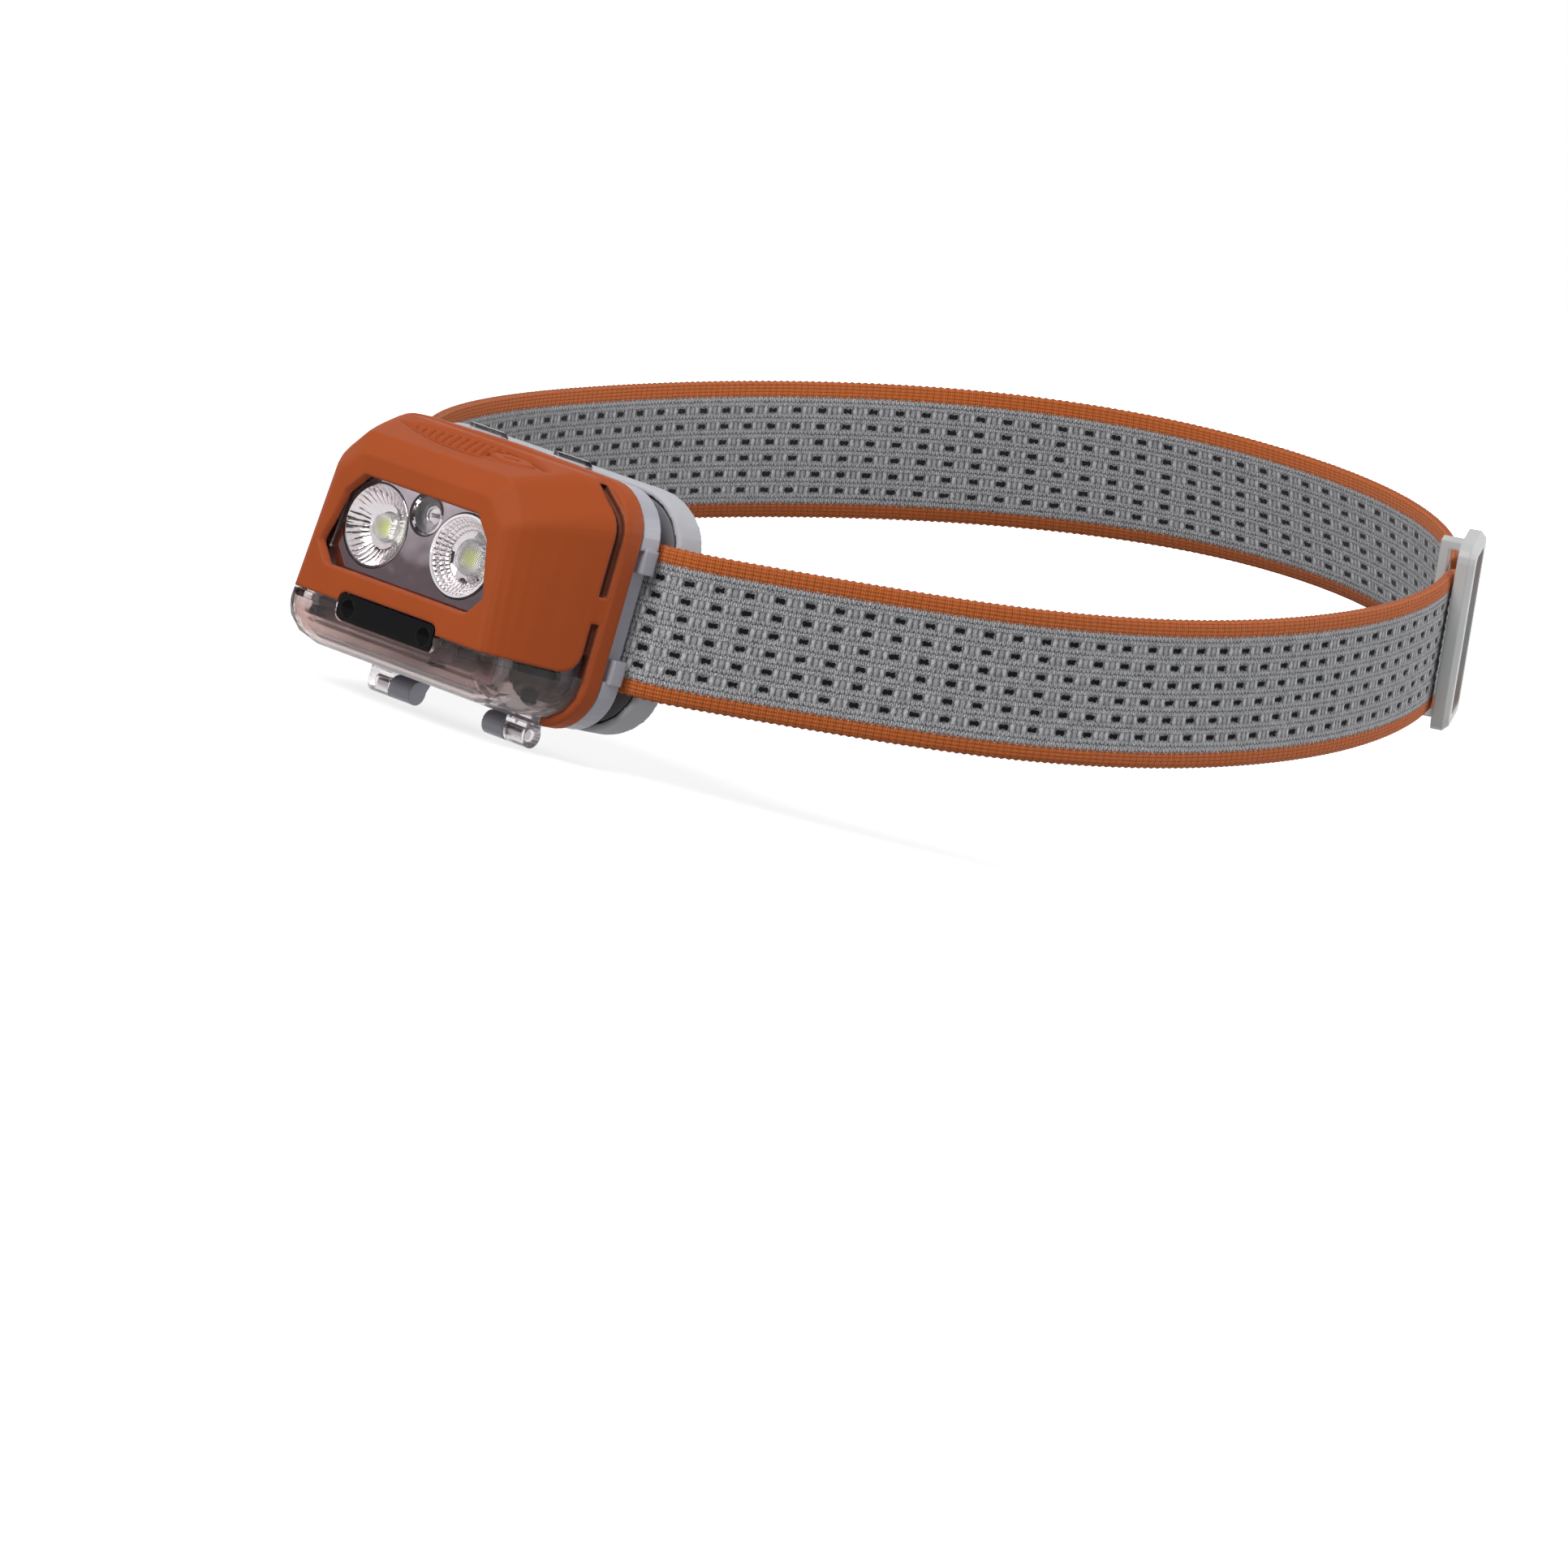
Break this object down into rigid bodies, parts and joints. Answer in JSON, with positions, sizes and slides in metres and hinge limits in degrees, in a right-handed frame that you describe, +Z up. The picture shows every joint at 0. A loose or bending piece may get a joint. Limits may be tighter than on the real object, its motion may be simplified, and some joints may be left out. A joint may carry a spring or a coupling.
{
  "type": "headlamp",
  "caption": "Compact headlamp with spot and flood reflectors behind a clear window, tilting on a hinged bracket with a forehead pad, worn on a wide elastic head strap.",
  "frame": {"origin": "centre of the forehead pad's back face, on its flat middle land", "axes": "-Y is the way the lamp shines, +Y points into the head, +Z is up, +X is on the right of someone who looks at the lamp's front"},
  "size_m": [0.1604, 0.2304, 0.0739],
  "materials": {
    "soft_orange": "soft matte overmould",
    "smoky_clear": "clear, slightly smoky, glossy",
    "mirror_coating": "vacuum-coated mirror",
    "clear_lens": "clear, polished",
    "led_phosphor": "yellow-green phosphor under a low dome",
    "circuit_board": "solder mask",
    "cell_wrap": "shrink-wrapped pouch",
    "steel": "plain turned steel",
    "black_plastic": "matte",
    "sensor_black": "glossy, passes infrared",
    "seal_rubber": "matte",
    "bracket_grey": "satin moulded",
    "plate_grey": "matte moulded",
    "pad_grey": "soft foam rubber",
    "strap_knit": "elastic knit with open holes and orange edges",
    "slider_grey": "satin moulded"
  },
  "bodies": {
    "root": {"bracket": "bracket_grey", "hinge_pin_left": "steel", "hinge_pin_right": "steel", "back_plate": "plate_grey", "forehead_pad": "pad_grey", "strap": "strap_knit", "strap_slider": "slider_grey", "plate_screw_1": "steel", "plate_screw_2": "steel", "plate_screw_3": "steel", "plate_screw_4": "steel"},
    "lamp": {"front_cover": "soft_orange", "clear_shell": "smoky_clear", "rear_cover": "smoky_clear", "reflector_plate": "mirror_coating", "spot_reflector": "mirror_coating", "flood_reflector": "mirror_coating", "signal_collar": "mirror_coating", "signal_led": "clear_lens", "spot_led": "led_phosphor", "flood_led": "led_phosphor", "led_board": "circuit_board", "sensor_board": "circuit_board", "power_cell": "cell_wrap", "contact_left": "steel", "contact_right": "steel", "tact_switch": "black_plastic", "sensor_window": "sensor_black", "ir_emitter": "clear_lens", "ir_receiver": "sensor_black", "rear_seal": "seal_rubber"},
    "press_button": {"button": "soft_orange"}
  },
  "joints": [
    {"name": "head_tilt", "type": "hinge", "parent": "root", "child": "lamp", "pos_m": [0, -0.0113, -0.02315], "axis": [1, 0, 0], "range_deg": [0, 60]},
    {"name": "button_press", "type": "slide", "parent": "lamp", "child": "press_button", "axis": [0, 0.1989, -0.98], "range_m": [0, 0.0007], "stiffness_N_per_m": 2500}
  ]
}
